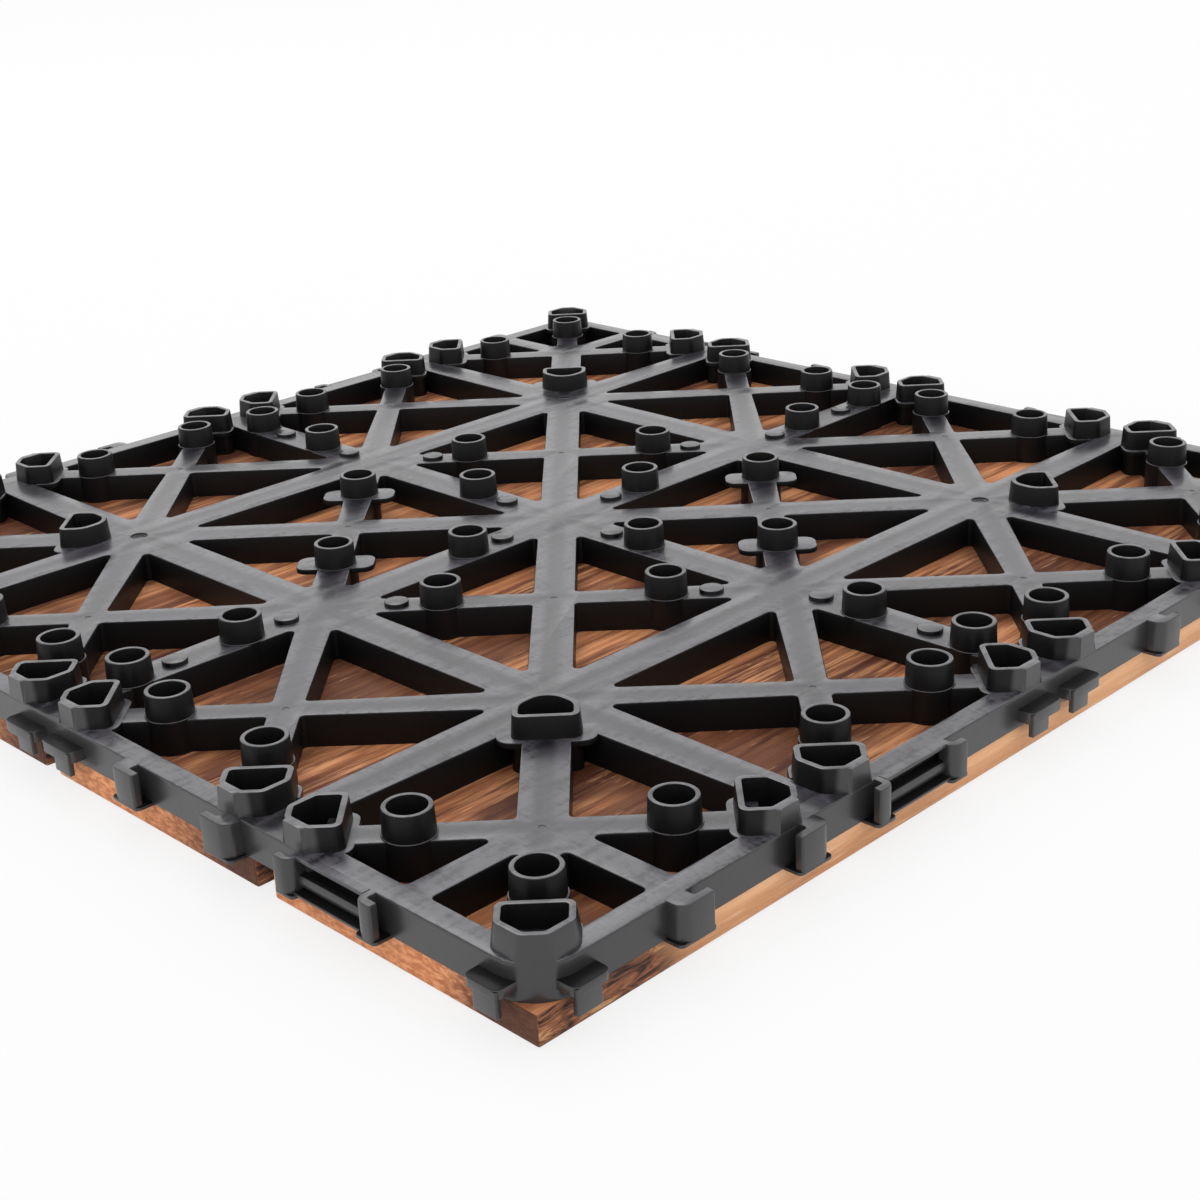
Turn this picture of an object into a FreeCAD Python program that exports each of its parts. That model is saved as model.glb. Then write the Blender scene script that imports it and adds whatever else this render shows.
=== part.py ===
import FreeCAD, Part
import math
import os

# Interlocking deck tile, lying on its walking face: wooden slats below, moulded base grid on top.
# All sizes are in millimetres. The origin is the middle of the walking face, and +Z points up
# through the grid to the feet that carry the laid tile.

# Lattice of the base grid
pitch = 75.0
cells = 4

# Levels, from the walking face up
slat_thickness = 6.4
rib_depth = 7.1
leg_height = 5.5
leg_floor = 3.0

# Outer frame of the grid
frame_inset = 4.0
frame_wall = 5.0
frame_corner_radius = 6.0
frame_step_depth = 0.3
frame_step_height = 1.2

# Ribs: their width at the frame, at an inner crossing and at a cell centre
straight_width_at_frame = 8.4
straight_width_at_crossing = 11.0
diagonal_width_at_centre = 6.8
diagonal_width_at_crossing = 8.6
main_diagonal_width = 9.6
corner_rib_width = 6.4

# Round walls are drawn with this many flat sides
leg_sides = 12
small_sides = 12
screw_sides = 8

# Round legs, tapering from the wood to their rims
tube_top_radius = 4.7
tube_foot_radius = 5.3
tube_bore_radius = 3.75
corner_tube_inset = 21.6
border_tube_inset = 21.0
rib_tube_insets = (25.0, 53.5)
crossing_tube_offset = 19.5
axis_tube_offset = 30.0

# D-shaped legs, drawn with the flat chord towards +x and the nose towards -x
d_leg_height = 4.8
d_half_width = 6.6
d_chord = 5.3
d_chord_cut = 1.2
d_shoulder = 1.0
d_nose = 5.3
d_nose_half_width = 2.3
d_wall = 1.2
corner_d_inset = 11.0
border_d_inset = 10.1
border_d_offset = 9.0
crossing_d_offset = 9.2

# Pads round the chords of the D-shaped legs, whose ends stand out of the ribs like ears.
# Those in the frame reach down to the wood, and the others are flanges level with the ribs.
border_pad_start = 1.0
border_pad_end = 7.0
border_pad_half_width = 7.6
border_pad_cut = 1.5
crossing_pad_start = -1.0
crossing_pad_end = 7.3
crossing_pad_half_width = 10.0
crossing_pad_cut = 2.6
flange_thickness = 2.0

# Winged flanges about the round legs of two of the inner cells
wing_start = -3.6
wing_end = 5.0
wing_half_width = 9.4
wing_cut = 2.4

# Small round buttons on the ribs, and the recess in each quarter crossing
button_radius = 2.8
button_height = 1.0
rib_button_insets = (36.0, 65.5)
crossing_button_offset = 12.25
axis_button_offset = 19.0
recess_radius = 2.5
recess_depth = 1.0

# Hooks on the frame, placed from the start of each half side. On the left and right sides
# the whole row is moved along a little.
side_row_shift = -2.8
hook_reach = 3.8
hook_arm = 2.2
hook_root = 1.0
hook_drop = 0.5
hook_cut = 1.2
wide_hook_starts = (33.6, 64.0)
wide_hook_width = 7.9
wide_slot_length = 3.2
narrow_hook_width = 4.4
narrow_slot_length = 2.7
foot_thickness = 0.8
foot_margin = 1.1
foot_cut = 0.9

# Channel between the two narrow hooks: a ledge, a groove, a ridge, a recess and a roof
channel_start = 90.5
channel_length = 18.1
ledge_reach = 2.9
ledge_height = 0.8
groove_reach = 0.7
groove_height = 0.4
ridge_reach = 1.5
ridge_height = 1.7
ridge_cut = 0.5
channel_recess = 1.2
roof_reach = 1.6
roof_thickness = 1.0

# Tabs beside the hooks: a shelf with a tongue hanging from its outer edge. Those at the middle
# of a side are larger than those near its ends.
end_tab_starts = (9.2, 282.0)
end_tab_width = 8.2
end_tab_thickness = 1.8
middle_tab_starts = (135.1, 149.5)
middle_tab_width = 10.9
middle_tab_thickness = 2.6
tab_reach = 3.5
tab_below_top = 3.2
tab_cut = 1.4
tongue_start = 0.3
tongue_width = 5.6
tongue_thickness = 1.2
tongue_drop = 1.4

# Wooden slats
slat_count = 4
slat_gap = 5.2
slat_inset = 4.3
slat_edge_cut = 0.8

# Screws, driven through the leg floors into the slats
screw_head_radius = 3.0
screw_head_height = 1.5
screw_shank_radius = 1.5
screw_tip_radius = 0.5
screw_tip_height = 1.5
screw_length = 8.0
screw_hole_clearance = 0.2
pilot_clearance = 0.05
pilot_extra_depth = 0.3

half = cells * pitch / 2
centre_index = cells / 2
grid_low = slat_thickness
grid_high = grid_low + rib_depth
leg_high = grid_high + leg_height
d_leg_high = grid_high + d_leg_height
floor_high = grid_low + leg_floor
frame_face = half - frame_inset
ledge_high = grid_low + ledge_height
ridge_low = ledge_high + groove_height
ridge_high = ridge_low + ridge_height
roof_low = grid_high - roof_thickness


def vec(x, y, z=0.0):
    return FreeCAD.Vector(x, y, z)


def node(i, j):
    """Plan position of the lattice point i, j, counted from the near corner."""
    return (i * pitch - half, j * pitch - half)


def middle(points):
    """Mean of some plan points."""
    return tuple(sum(values) / len(points) for values in zip(*points))


def turned(point, degrees):
    """Plan point turned about the origin."""
    angle = math.radians(degrees)
    x, y = point
    return (x * math.cos(angle) - y * math.sin(angle), x * math.sin(angle) + y * math.cos(angle))


def placed(points, degrees, origin):
    """Plan points turned, then moved to an origin."""
    return [(origin[0] + x, origin[1] + y) for x, y in (turned(point, degrees) for point in points)]


def corner_arc(points, index, radius, sides):
    """Plan points that round one corner of an outline with a few straight sides."""
    here = vec(*points[index])
    back = (vec(*points[index - 1]) - here).normalize()
    ahead = (vec(*points[(index + 1) % len(points)]) - here).normalize()
    half_angle = back.getAngle(ahead) / 2
    centre = here + (back + ahead).normalize() * (radius / math.sin(half_angle))
    start = here + back * (radius / math.tan(half_angle)) - centre
    end = here + ahead * (radius / math.tan(half_angle)) - centre
    sweep = start.getAngle(end)
    arc = []
    for step in range(sides + 1):
        share = step / sides
        point = start * math.sin((1 - share) * sweep) + end * math.sin(share * sweep)
        arc.append((centre.x + point.x / math.sin(sweep), centre.y + point.y / math.sin(sweep)))
    return arc


def cut_corners(points, cuts):
    """Outline with each corner cut off by its own length along both edges. A cut of 0 stays sharp."""
    outline = []
    for index, cut in enumerate(cuts):
        here = vec(*points[index])
        if cut == 0:
            outline.append(points[index])
            continue
        for neighbour in (points[index - 1], points[(index + 1) % len(points)]):
            stop = here + (vec(*neighbour) - here).normalize() * cut
            outline.append((stop.x, stop.y))
    return outline


def circle(centre, radius, sides):
    """Plan points of a round outline."""
    turn = 360 / sides
    return [(centre[0] + x, centre[1] + y)
            for x, y in (turned((radius, 0.0), (index + 0.5) * turn) for index in range(sides))]


def between(low_points, low, high_points, high):
    """Solid with flat sides between two outlines that lie level, one above the other."""
    bottom = [vec(*point, low) for point in low_points]
    top = [vec(*point, high) for point in high_points]
    faces = [Part.Face(Part.makePolygon(loop + loop[:1])) for loop in (bottom, top)]
    for index in range(len(bottom)):
        loop = [bottom[index - 1], bottom[index], top[index], top[index - 1]]
        faces.append(Part.Face(Part.makePolygon(loop + loop[:1])))
    solid = Part.Solid(Part.Shell(faces))
    if solid.Volume < 0:
        solid.reverse()
    return solid


def prism(points, low, high):
    return between(points, low, points, high)


def block(x0, x1, y0, y1, low, high):
    return Part.makeBox(x1 - x0, y1 - y0, high - low, vec(x0, y0, low))


def rod(centre, radius, sides, low, high):
    return prism(circle(centre, radius, sides), low, high)


def square(reach, radius, low, high):
    """Plate with rounded corners, centred on the origin."""
    corners = [(-reach, -reach), (reach, -reach), (reach, reach), (-reach, reach)]
    outline = []
    for index in range(len(corners)):
        outline += corner_arc(corners, index, radius, leg_sides // 4)
    return prism(outline, low, high)


def quarter_turns(points):
    return [turned(point, degrees) for point in points for degrees in (0, 90, 180, 270)]


def half_turns_and_mirrors(points):
    """Each plan point, its mirror image across the diagonal, and both turned by half a turn."""
    pairs = points + [(y, x) for x, y in points]
    return pairs + [(-x, -y) for x, y in pairs]


def four_quadrants(points):
    return [(x * a, y * b) for x, y in points for a in (1, -1) for b in (1, -1)]


def at_frame(index):
    return index in (0, cells)


def rib_edge(here, there):
    """Distance from a rib's centre line to its edge, at the end 'here' of the run to 'there'."""
    (i, j), (m, n) = here, there
    if i == m or j == n:
        line = i if i == m else j
        if at_frame(line):
            return frame_inset + frame_wall
        if line != int(line):
            return corner_rib_width / 2
        ends_at_frame = at_frame(i) or at_frame(j)
        return (straight_width_at_frame if ends_at_frame else straight_width_at_crossing) / 2
    steps = [abs(index - centre_index) for index in (i, j, m, n)]
    if max(steps) < centre_index and steps[0] == steps[1] and steps[2] == steps[3]:
        return main_diagonal_width / 2
    inner_crossing = i == int(i) and not at_frame(i) and not at_frame(j)
    return (diagonal_width_at_crossing if inner_crossing else diagonal_width_at_centre) / 2


def window_line(here, there, inside):
    """The edge of the rib from here to there, on the side of an inside point."""
    start, end, mark = (vec(*node(*point)) for point in (here, there, inside))
    along = (end - start).normalize()
    normal = vec(-along.y, along.x)
    if normal.dot(mark - start) < 0:
        normal = normal * -1
    return start + normal * rib_edge(here, there), end + normal * rib_edge(there, here)


def meeting_point(first, second):
    """Plan point where two lines cross."""
    (a, b), (c, d) = first, second
    along, other = b - a, d - c
    share = ((c.x - a.x) * other.y - (c.y - a.y) * other.x) / (along.x * other.y - along.y * other.x)
    point = a + along * share
    return (point.x, point.y)


def window_outline(corners):
    """Outline of the opening between the ribs that join some lattice points."""
    inside = middle(corners)
    lines = [window_line(point, corners[(index + 1) % len(corners)], inside)
             for index, point in enumerate(corners)]
    return [meeting_point(lines[index - 1], line) for index, line in enumerate(lines)]


def is_tile_corner(point):
    return at_frame(point[0]) and at_frame(point[1])


def cell_windows(i, j):
    """Lattice corners of the triangular openings in one cell. Beside a tile corner they are split."""
    centre = (i + 0.5, j + 0.5)
    ring = [(i, j), (i + 1, j), (i + 1, j + 1), (i, j + 1)]
    windows = []
    for index, first in enumerate(ring):
        second = ring[(index + 1) % 4]
        if is_tile_corner(first) or is_tile_corner(second):
            split = middle([first, second])
            windows += [[first, split, centre], [split, second, centre]]
        else:
            windows.append([first, second, centre])
    return windows


def lattice():
    """The frame and its ribs: a stepped plate with all openings cut through it."""
    step_level = grid_high - frame_step_height
    plate = square(frame_face, frame_corner_radius, grid_low, step_level)
    top_radius = frame_corner_radius - frame_step_depth
    plate = plate.fuse(square(frame_face - frame_step_depth, top_radius, step_level, grid_high))
    cuts = []
    for i in range(cells):
        for j in range(cells):
            outlines = [window_outline(corners) for corners in cell_windows(i, j)]
            cuts += [prism(outline, grid_low, grid_high) for outline in outlines]
    return plate.cut(cuts)


def tube_places():
    """Plan centres of the round legs."""
    places = [(corner_tube_inset - half, corner_tube_inset - half)]
    for index in range(1, cells):
        for side in (-1, 1):
            places.append((node(index, 0)[0] + side * border_tube_inset, border_tube_inset - half))
    places += [(inset - half, 0.0) for inset in rib_tube_insets]
    side_crossing = node(1, centre_index)[0]
    places += [(side_crossing + crossing_tube_offset, side * crossing_tube_offset) for side in (-1, 1)]
    places.append((-axis_tube_offset, 0.0))
    return quarter_turns(places)


def tube_body(centre):
    """Tapered round leg that stands on the wood."""
    foot = circle(centre, tube_foot_radius, leg_sides)
    rim = circle(centre, tube_top_radius, leg_sides)
    return between(foot, grid_low, rim, leg_high)


def d_prism(origin, degrees, wall, low, high):
    """D-shaped leg, or with a wall its hollow: all sides moved in by the wall."""
    slant = math.atan2(d_half_width - d_nose_half_width, d_nose - d_shoulder)
    nose = d_nose_half_width - wall * (1 - math.cos(slant)) / math.sin(slant)
    shoulder = d_shoulder - wall * math.tan(slant / 2)
    width = d_half_width - wall
    points = [(d_chord - wall, -width), (d_chord - wall, width), (-shoulder, width),
              (wall - d_nose, nose), (wall - d_nose, -nose), (-shoulder, -width)]
    chord_cut = d_chord_cut * (1 - wall / d_half_width)
    outline = cut_corners(points, [chord_cut, chord_cut, 0, 0, 0, 0])
    return prism(placed(outline, degrees, origin), low, high)


def border_d_places():
    """Origin and turn of the D-shaped legs in the frame. The turn points the flat chord."""
    corner = corner_d_inset - half
    seats = [((corner, corner), 45)]
    for index in range(1, cells):
        for side, degrees in ((-1, 135), (1, 45)):
            seats.append(((node(index, 0)[0] + side * border_d_offset, border_d_inset - half), degrees))
    return on_all_sides(seats)


def crossing_d_places():
    """The same for the D-shaped legs beside the quarter crossings."""
    quarter = node(1, 1)[0] - crossing_d_offset
    return on_all_sides([((quarter, quarter), 225)])


def on_all_sides(seats):
    return [(turned(origin, side), degrees + side)
            for origin, degrees in seats for side in (0, 90, 180, 270)]


def winged_tube_places():
    """The round legs of two of the inner cells, with the way to the middle of their cell."""
    x = node(1, centre_index)[0] + crossing_tube_offset
    tubes = [(x, crossing_tube_offset), (crossing_tube_offset, x)]
    return [(turned(place, turn), 45 + turn) for place in tubes for turn in (0, 180)]


def border_pad(origin, degrees):
    """Block under the chord of a D-shaped leg, with its two inner corners cut."""
    corners = [(border_pad_start, -border_pad_half_width), (border_pad_end, -border_pad_half_width),
               (border_pad_end, border_pad_half_width), (border_pad_start, border_pad_half_width)]
    outline = cut_corners(corners, [0, border_pad_cut, border_pad_cut, 0])
    return prism(placed(outline, degrees, origin), grid_low, grid_high)


def crossing_flange(origin, degrees):
    """Flange under the chord of a D-shaped leg beside a crossing."""
    corners = [(crossing_pad_start, -crossing_pad_half_width), (crossing_pad_end, -crossing_pad_half_width),
               (crossing_pad_end, crossing_pad_half_width), (crossing_pad_start, crossing_pad_half_width)]
    outline = cut_corners(corners, [0, crossing_pad_cut, crossing_pad_cut, 0])
    return prism(placed(outline, degrees, origin), grid_high - flange_thickness, grid_high)


def wing_flange(origin, degrees):
    """Flange with four cut corners, whose ends stand out on both sides of a rib."""
    corners = [(wing_start, -wing_half_width), (wing_end, -wing_half_width),
               (wing_end, wing_half_width), (wing_start, wing_half_width)]
    outline = cut_corners(corners, [wing_cut] * len(corners))
    return prism(placed(outline, degrees, origin), grid_high - flange_thickness, grid_high)


def button_places():
    places = quarter_turns([(inset - half, 0.0) for inset in rib_button_insets])
    places += quarter_turns([(-axis_button_offset, 0.0)])
    x = node(1, centre_index)[0] + crossing_button_offset
    return places + half_turns_and_mirrors([(x, -crossing_button_offset)])


def outward(x0, x1, near, far, low, high):
    """Block on the front side, from one distance outside the frame's face to another."""
    return block(x0, x1, -frame_face - far, -frame_face - near, low, high)


def outward_plate(x0, x1, near, far, cut, low, high):
    """The same with its outer corners cut off."""
    front, back = -frame_face - far, -frame_face - near
    corners = [(x0, front), (x1, front), (x1, back), (x0, back)]
    return prism(cut_corners(corners, [cut, cut, 0, 0]), low, high)


def hook(start, width, slot, opening):
    """Upright L on the frame's face. Its slot opens towards +x or -x, and a foot closes its bottom."""
    low = grid_low - hook_drop
    end = start + width
    slot_start = start if opening < 0 else end - slot
    body = outward_plate(start, end, 0, hook_reach, hook_cut, low, grid_high)
    body = body.fuse(outward(start, end, -hook_root, 0, grid_low, grid_high))
    body = body.cut(outward(slot_start, slot_start + slot, 0, hook_reach - hook_arm, low, grid_high))
    foot = outward_plate(start - foot_margin, end + foot_margin, 0, hook_reach,
                         foot_cut, low, low + foot_thickness)
    return body.fuse(foot)


def tab(start, width, thickness, mirrored):
    """Shelf on the frame's face with a thin tongue hanging in front of the wood."""
    first = half - start - width if mirrored else start - half
    shelf_high = grid_high - tab_below_top
    shelf = outward_plate(first, first + width, -hook_root, tab_reach, tab_cut,
                          shelf_high - thickness, shelf_high)
    tongue_first = first + (width - tongue_start - tongue_width if mirrored else tongue_start)
    tongue = outward(tongue_first, tongue_first + tongue_width, tab_reach - tongue_thickness, tab_reach,
                     grid_low - tongue_drop, shelf_high)
    return shelf.fuse(tongue)


def channel_ledge(start):
    """Ledge, groove and ridge between the two narrow hooks, as one profile."""
    profile = [(-hook_root, grid_low), (ledge_reach, grid_low), (ledge_reach, ledge_high),
               (groove_reach, ledge_high), (groove_reach, ridge_low), (ridge_reach, ridge_low),
               (ridge_reach, ridge_high - ridge_cut), (ridge_reach - ridge_cut, ridge_high),
               (-hook_root, ridge_high)]
    corners = [vec(start, -frame_face - out, z) for out, z in profile]
    face = Part.Face(Part.makePolygon(corners + corners[:1]))
    return face.extrude(vec(channel_length, 0, 0))


def side_features(mirrored):
    """What stands on one side of the frame, and the recesses in its channels."""
    added = []
    recesses = []
    shift = side_row_shift if mirrored else 0.0
    for run_start in (shift - half, shift):
        for start, opening in zip(wide_hook_starts, (1, -1)):
            added.append(hook(run_start + start, wide_hook_width, wide_slot_length, opening))
        first = run_start + channel_start
        last = first + channel_length
        added.append(hook(first - narrow_hook_width, narrow_hook_width, narrow_slot_length, -1))
        added.append(hook(last, narrow_hook_width, narrow_slot_length, 1))
        added.append(channel_ledge(first))
        added.append(outward(first, last, -hook_root, roof_reach, roof_low, grid_high))
        recesses.append(outward(first, last, -channel_recess, 0, ridge_high, roof_low))
    added += [tab(start, end_tab_width, end_tab_thickness, mirrored) for start in end_tab_starts]
    added += [tab(start, middle_tab_width, middle_tab_thickness, mirrored) for start in middle_tab_starts]
    return added, recesses


def turned_solids(solids, degrees):
    copies = [solid.copy() for solid in solids]
    for solid in copies:
        solid.rotate(vec(0, 0), vec(0, 0, 1), degrees)
    return copies


def screw_places():
    """The round legs that hold screws: two at each end of each slat."""
    inset = border_tube_inset - half
    corner = corner_tube_inset - half
    first, second = node(0, 1)[1], node(0, centre_index)[1]
    return four_quadrants([(corner, corner), (inset, first - border_tube_inset),
                           (inset, first + border_tube_inset), (inset, second - border_tube_inset)])


def base_grid():
    """The moulded base: lattice, legs, pads, buttons and the hooks on its sides, all one solid."""
    added = [tube_body(place) for place in tube_places()]
    hollows = [rod(place, tube_bore_radius, leg_sides, floor_high, leg_high) for place in tube_places()]
    for origin, degrees in border_d_places() + crossing_d_places():
        added.append(d_prism(origin, degrees, 0.0, grid_low, d_leg_high))
        hollows.append(d_prism(origin, degrees, d_wall, floor_high, d_leg_high))
    added += [border_pad(*seat) for seat in border_d_places()]
    added += [crossing_flange(*seat) for seat in crossing_d_places()]
    added += [wing_flange(*seat) for seat in winged_tube_places()]
    added += [rod(place, button_radius, small_sides, grid_low, grid_high + button_height)
              for place in button_places()]
    for mirrored, turn in ((False, 0), (False, 180), (True, 90), (True, 270)):
        features, recesses = side_features(mirrored)
        added += turned_solids(features, turn)
        hollows += turned_solids(recesses, turn)
    hollows += [rod(node(i, j), recess_radius, small_sides, grid_high - recess_depth, grid_high)
                for i in (1, cells - 1) for j in (1, cells - 1)]
    hole_radius = screw_shank_radius + screw_hole_clearance
    hollows += [rod(place, hole_radius, screw_sides, grid_low, floor_high) for place in screw_places()]
    return lattice().fuse(added).cut(hollows).removeSplitter()


def slat(index):
    """One board with eased edges, and pilot holes under the screws."""
    width = (2 * (half - slat_inset) - (slat_count - 1) * slat_gap) / slat_count
    low_y = slat_inset - half + index * (width + slat_gap)
    reach = half - slat_inset
    board = block(-reach, reach, low_y, low_y + width, 0.0, slat_thickness)
    walking_edges = [edge for edge in board.Edges if edge.BoundBox.ZMax < slat_thickness / 2]
    board = board.makeChamfer(slat_edge_cut, walking_edges)
    tip = floor_high - screw_length - pilot_extra_depth
    pilots = [rod(place, screw_shank_radius + pilot_clearance, screw_sides, tip, slat_thickness)
              for place in screw_places() if low_y < place[1] < low_y + width]
    return board.cut(pilots)


def screw(place):
    """Screw with its head on the leg's floor."""
    tip = floor_high - screw_length
    shoulder = tip + screw_tip_height
    point = between(circle(place, screw_tip_radius, screw_sides), tip,
                    circle(place, screw_shank_radius, screw_sides), shoulder)
    shank = rod(place, screw_shank_radius, screw_sides, shoulder, floor_high)
    head = rod(place, screw_head_radius, screw_sides, floor_high, floor_high + screw_head_height)
    return point.fuse([shank, head]).removeSplitter()


def export(name, shape):
    shape.exportStep("parts/" + name + ".step")
    print(name, "valid", shape.isValid(), "solids", len(shape.Solids), "volume", round(shape.Volume))


os.makedirs("parts", exist_ok=True)
export("base_grid", base_grid())
for number in range(slat_count):
    export("slat_" + str(number + 1), slat(number))
export("slat_screws", Part.makeCompound([screw(place) for place in screw_places()]))
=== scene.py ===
import math

import bmesh
import bpy
from mathutils import Matrix, Vector, geometry


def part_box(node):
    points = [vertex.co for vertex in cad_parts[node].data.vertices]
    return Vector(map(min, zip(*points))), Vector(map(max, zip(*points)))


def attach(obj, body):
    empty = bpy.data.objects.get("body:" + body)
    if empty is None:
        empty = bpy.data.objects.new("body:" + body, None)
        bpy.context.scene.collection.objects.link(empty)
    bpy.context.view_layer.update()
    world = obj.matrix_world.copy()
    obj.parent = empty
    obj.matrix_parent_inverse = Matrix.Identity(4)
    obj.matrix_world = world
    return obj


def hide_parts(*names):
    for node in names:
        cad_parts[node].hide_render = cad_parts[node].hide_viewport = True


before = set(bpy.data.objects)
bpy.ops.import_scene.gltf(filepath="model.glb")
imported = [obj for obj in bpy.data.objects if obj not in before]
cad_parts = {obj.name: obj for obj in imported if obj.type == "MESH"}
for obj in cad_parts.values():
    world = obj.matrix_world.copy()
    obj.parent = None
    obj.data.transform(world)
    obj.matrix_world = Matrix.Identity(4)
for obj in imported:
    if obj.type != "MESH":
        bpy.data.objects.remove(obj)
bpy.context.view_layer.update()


# Slats: four boards of oiled hardwood, sawn along the grain, with lightly eased edges. They lie
# side by side, and the base grid is screwed down on them. Heat and rubbing left dark patches.

mm = 0.001
slat_count = 4
slat_high = 6.4
slat_edge = 0.8
slat_top_edge = 0.35
slat_corner = 0.7
mitre_limit = 0.2
weld_distance = 2e-6

worn_dark = (0.135, 0.040, 0.021)
worn_red = (0.62, 0.235, 0.100)
worn_streak = (0.92, 0.420, 0.190)
burnt_patch = (0.090, 0.028, 0.018)
bare_fleck = (0.92, 0.50, 0.27)
side_deep = (0.60, 0.275, 0.130)
side_pale = (0.90, 0.50, 0.27)
side_fibre = (0.96, 0.66, 0.42)
char_black = (0.040, 0.019, 0.016)
char_brown = (0.32, 0.125, 0.062)
char_crack = (0.74, 0.42, 0.20)
sawn_deep = (0.60, 0.210, 0.085)
sawn_light = (0.93, 0.420, 0.200)
sawn_stain = (0.055, 0.020, 0.016)

# The charred stretch of the sides along X, and the stain on each slat's sawn ends: how far it
# reaches from the slat's near edge, and over what length it fades
char_from = -74.0
char_full = -96.0
stain_reach = (30.0, 44.0, 44.0, 44.0)
stain_fade = (14.0, 34.0, 34.0, 34.0)
board_shift = (431.0, 57.0, 23.0)


def rounded(points, radii, steps=4):
    """Closed plan outline with its corners rounded."""
    outline = []
    count = len(points)
    for index in range(count):
        here = Vector(points[index])
        radius = radii[index] if isinstance(radii, (list, tuple)) else radii
        if radius == 0:
            outline.append((here.x, here.y))
            continue
        back = (Vector(points[index - 1]) - here).normalized()
        ahead = (Vector(points[(index + 1) % count]) - here).normalized()
        half_angle = back.angle(ahead) / 2
        centre = here + (back + ahead).normalized() * (radius / math.sin(half_angle))
        start = here + back * (radius / math.tan(half_angle)) - centre
        end = here + ahead * (radius / math.tan(half_angle)) - centre
        sweep = start.angle(end)
        for step in range(steps + 1):
            share = step / steps
            arm = start * math.sin((1 - share) * sweep) + end * math.sin(share * sweep)
            arm = arm / math.sin(sweep)
            outline.append((centre.x + arm.x, centre.y + arm.y))
    return outline


def circle(centre, radius, sides, way=1):
    """Round plan outline, counterclockwise, or clockwise as a hole with way -1."""
    angles = [way * math.tau * index / sides for index in range(sides)]
    return [(centre[0] + radius * math.cos(angle), centre[1] + radius * math.sin(angle))
            for angle in angles]


def moved_in(loop, depth):
    """Plan outline moved to its left by a depth. On a hole drawn clockwise that widens the hole."""
    moved = []
    count = len(loop)
    for index in range(count):
        here = Vector(loop[index])
        before = (here - Vector(loop[index - 1])).normalized()
        after = (Vector(loop[(index + 1) % count]) - here).normalized()
        normal = Vector((-before.y - after.y, before.x + after.x))
        normal /= max(mitre_limit, normal.length_squared / 2)
        moved.append((here.x + normal.x * depth, here.y + normal.y * depth))
    return moved


def eased(edge):
    """Insets and drops that round an edge, from beside the wall to the level face."""
    return [(edge * (1 - math.cos(turn)), edge * (1 - math.sin(turn)))
            for turn in (math.pi / 6, math.pi / 3, math.pi / 2)]


class Shape:
    """Points in millimetres and the faces between them, made into one piece at the end."""

    def __init__(self):
        self.points = []
        self.faces = []
        self.level_faces = set()

    def ring(self, loop, level):
        first = len(self.points)
        self.points += [(x, y, level) for x, y in loop]
        return list(range(first, len(self.points)))

    def wall(self, low, high):
        """Faces between two rings of as many points each."""
        for index in range(len(low)):
            self.faces.append((low[index - 1], low[index], high[index], high[index - 1]))

    def walls(self, levels):
        """Rings given as (plan outline, level), joined one to the next."""
        rings = [self.ring(loop, level) for loop, level in levels]
        for low, high in zip(rings, rings[1:]):
            self.wall(low, high)
        return rings

    def cap(self, rings, upward=True):
        """Level face inside the first ring and outside the others."""
        loops = [[Vector(self.points[index]) for index in ring] for ring in rings]
        flat = [index for ring in rings for index in ring]
        for corners in geometry.tessellate_polygon(loops):
            a, b, c = (Vector(self.points[flat[index]]) for index in corners)
            face = tuple(flat[index] for index in corners)
            faces_up = (b - a).cross(c - a).z > 0
            self.level_faces.add(len(self.faces))
            self.faces.append(face if faces_up == upward else face[::-1])

    def plate(self, loop, low, high, low_edge=0.0, high_edge=0.3):
        """Upright block on a plan outline, with eased edges below and above."""
        levels = [(loop, low + low_edge), (loop, high - high_edge)]
        if low_edge:
            below = [(moved_in(loop, inset), low + rise) for inset, rise in eased(low_edge)]
            levels = below[::-1] + levels
        if high_edge:
            levels += [(moved_in(loop, inset), high - drop) for inset, drop in eased(high_edge)]
        rings = self.walls(levels)
        self.cap([rings[0]], upward=False)
        self.cap([rings[-1]])

    def turned_form(self, centre, profile, sides):
        """Round form on an upright axis. The profile runs (radius, level) from the outside foot."""
        rings = []
        for radius, level in profile:
            loop = circle(centre, radius, sides) if radius else [centre]
            rings.append(self.ring(loop, level))
        for low, high in zip(rings, rings[1:]):
            if len(high) == 1:
                self.faces += [(low[index - 1], low[index], high[0]) for index in range(sides)]
            elif len(low) == 1:
                self.faces += [(low[0], high[index], high[index - 1]) for index in range(sides)]
            else:
                self.wall(low, high)

    def piece(self, name, material, smooth_below=32):
        """The finished piece in metres, riding on the tile. Its level faces are shaded flat."""
        mesh = bpy.data.meshes.new(name)
        mesh.from_pydata([Vector(point) * mm for point in self.points], [], self.faces)
        work = bmesh.new()
        work.from_mesh(mesh)
        for index, face in enumerate(work.faces):
            face.smooth = index not in self.level_faces
        bmesh.ops.remove_doubles(work, verts=work.verts, dist=weld_distance)
        work.to_mesh(mesh)
        work.free()
        mesh.validate()
        mesh.set_sharp_from_angle(angle=math.radians(smooth_below))
        mesh.materials.append(material)
        made = bpy.data.objects.new(name, mesh)
        bpy.context.collection.objects.link(made)
        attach(made, "root")
        return made


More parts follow.
